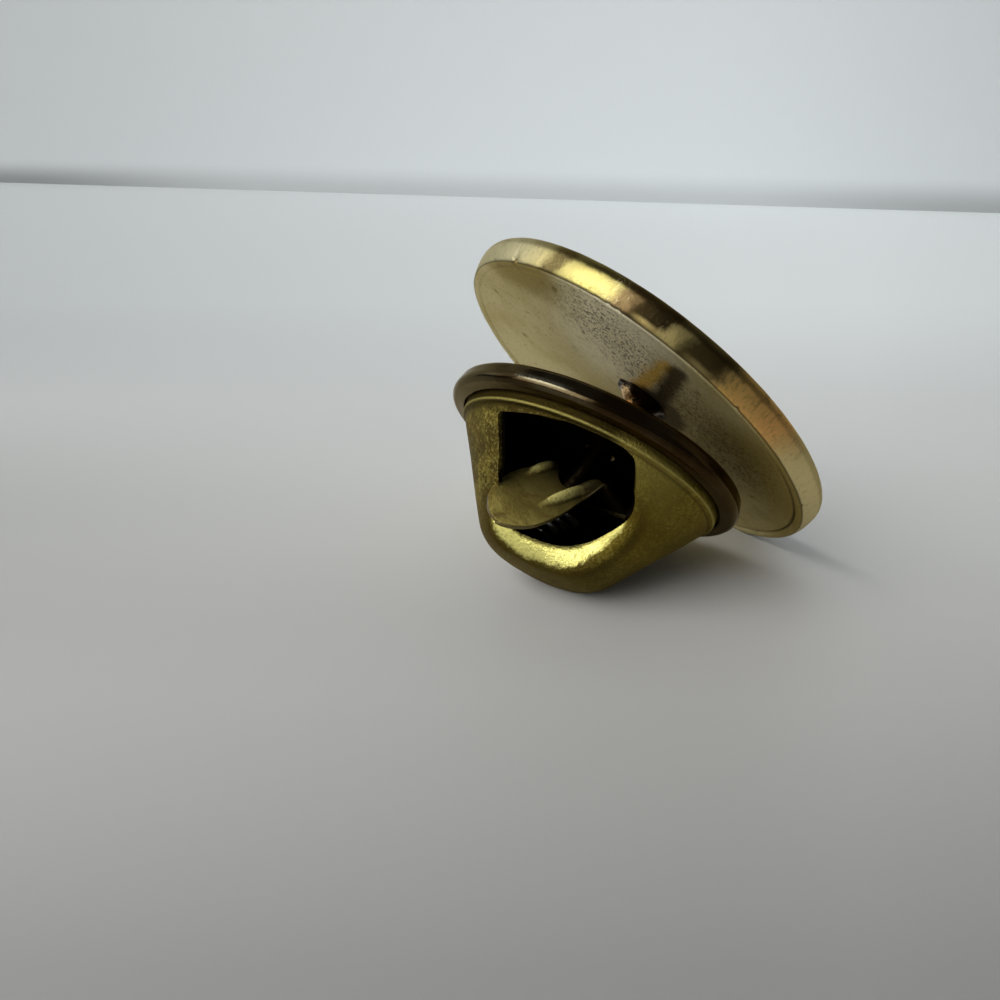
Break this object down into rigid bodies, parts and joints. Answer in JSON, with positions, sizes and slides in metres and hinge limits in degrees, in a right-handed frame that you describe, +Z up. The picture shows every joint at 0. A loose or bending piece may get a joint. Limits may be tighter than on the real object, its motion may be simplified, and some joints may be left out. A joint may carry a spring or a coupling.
{
  "type": "lapel pin",
  "caption": "Round lapel pin with a plain disc, a soldered post and a domed lever clutch on the post, lying on its rim.",
  "frame": {"origin": "centre of the base of the bounding box, on the surface it lies on", "axes": "+Z up, +Y along the longest extent of the pin as it lies, +X to its right"},
  "size_m": [0.0138, 0.0156, 0.0127],
  "materials": {
    "plated": "worn satin plating",
    "bronze": "dark tarnished",
    "dome_brass": "dull olive brass",
    "lever_brass": "dull brass",
    "spring_steel": "drawn wire"
  },
  "bodies": {
    "disc": {"medal": "plated"},
    "grip": {"grip_spring": "spring_steel"},
    "clutch": {"clutch_base": "bronze", "housing": "dome_brass"},
    "tab": {"lever": "lever_brass"}
  },
  "joints": [
    {"name": "clutch_slide", "type": "slide", "parent": "disc", "child": "grip", "axis": [-0.6363, -0.4015, -0.6587], "range_m": [-0.0009, 0.015]},
    {"name": "clutch_turn", "type": "hinge", "parent": "grip", "child": "clutch", "pos_m": [-0.00198, -0.00324, 0.00431], "axis": [-0.6363, -0.4015, -0.6587], "continuous": true},
    {"name": "lever_tilt", "type": "hinge", "parent": "clutch", "child": "tab", "pos_m": [-0.00114, -0.00181, 0.00226], "axis": [-0.7988, 0.5987, 0.0597], "range_deg": [0, 9], "stiffness_Nm_per_rad": 0.00005, "springref_deg": -22.92}
  ]
}
